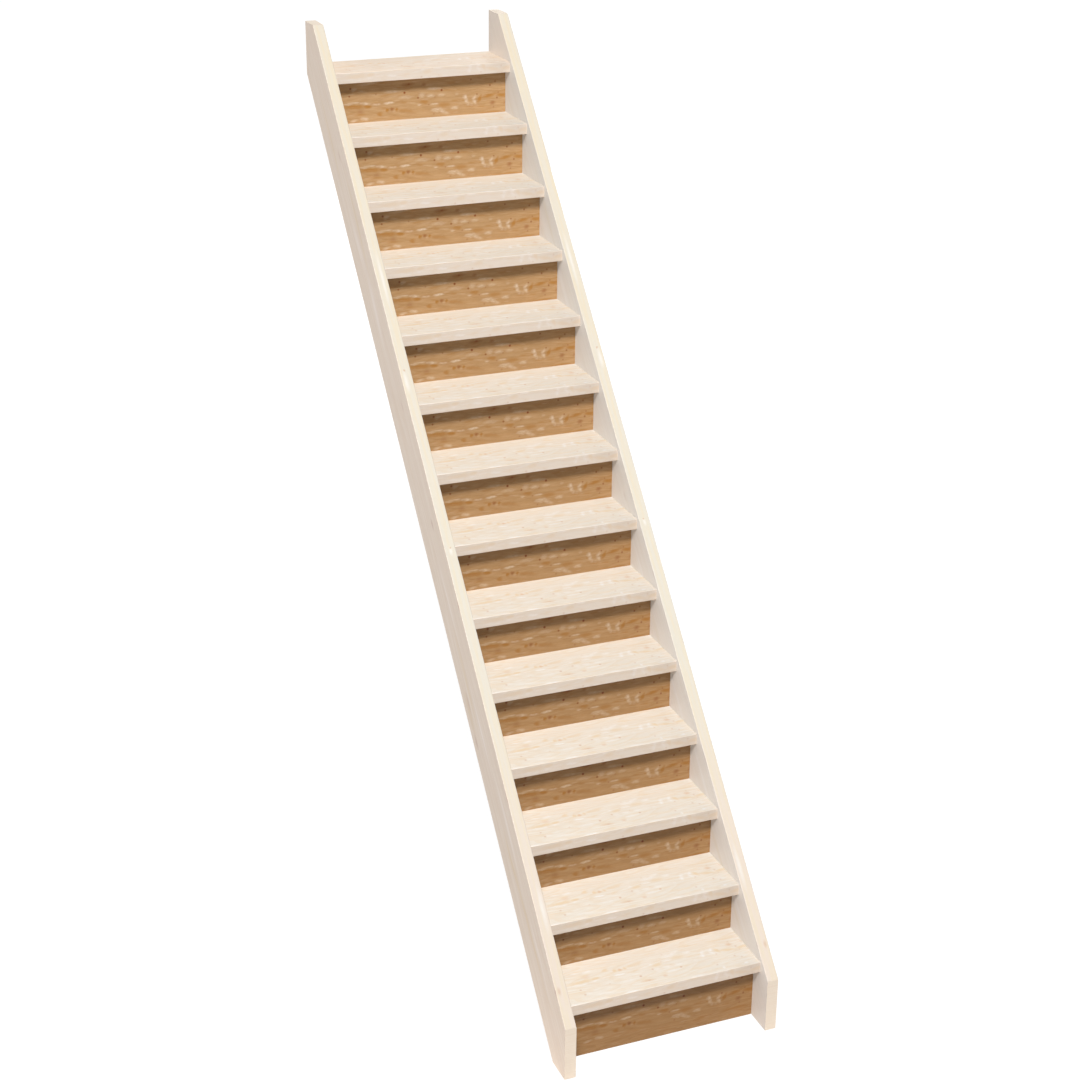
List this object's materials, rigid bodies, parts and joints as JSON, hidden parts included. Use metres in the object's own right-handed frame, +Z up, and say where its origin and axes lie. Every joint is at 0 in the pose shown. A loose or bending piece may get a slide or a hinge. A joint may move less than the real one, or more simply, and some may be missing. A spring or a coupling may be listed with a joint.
{
  "type": "straight stair flight",
  "caption": "Steep straight timber stair flight: two closed strings, square-nosed treads housed between them and a riser board under every tread.",
  "frame": {"origin": "on the floor, at the middle of the rectangle that the flight covers", "axes": "+X across the flight, to the right of a climber; +Y up the flight, away from the climber; +Z up"},
  "size_m": [0.78, 2.651, 3],
  "materials": {
    "string_wood": "planed pale softwood, no varnish",
    "tread_wood": "planed pale softwood, no varnish",
    "riser_wood": "orange-brown plywood, satin",
    "screw_steel": "zinc plated"
  },
  "bodies": {
    "root": {"string_left": "string_wood", "string_right": "string_wood", "tread_01": "tread_wood", "tread_02": "tread_wood", "tread_03": "tread_wood", "tread_04": "tread_wood", "tread_05": "tread_wood", "tread_06": "tread_wood", "tread_07": "tread_wood", "tread_08": "tread_wood", "tread_09": "tread_wood", "tread_10": "tread_wood", "tread_11": "tread_wood", "tread_12": "tread_wood", "tread_13": "tread_wood", "tread_14": "tread_wood", "riser_01": "riser_wood", "riser_02": "riser_wood", "riser_03": "riser_wood", "riser_04": "riser_wood", "riser_05": "riser_wood", "riser_06": "riser_wood", "riser_07": "riser_wood", "riser_08": "riser_wood", "riser_09": "riser_wood", "riser_10": "riser_wood", "riser_11": "riser_wood", "riser_12": "riser_wood", "riser_13": "riser_wood", "riser_14": "riser_wood"}
  },
  "joints": []
}
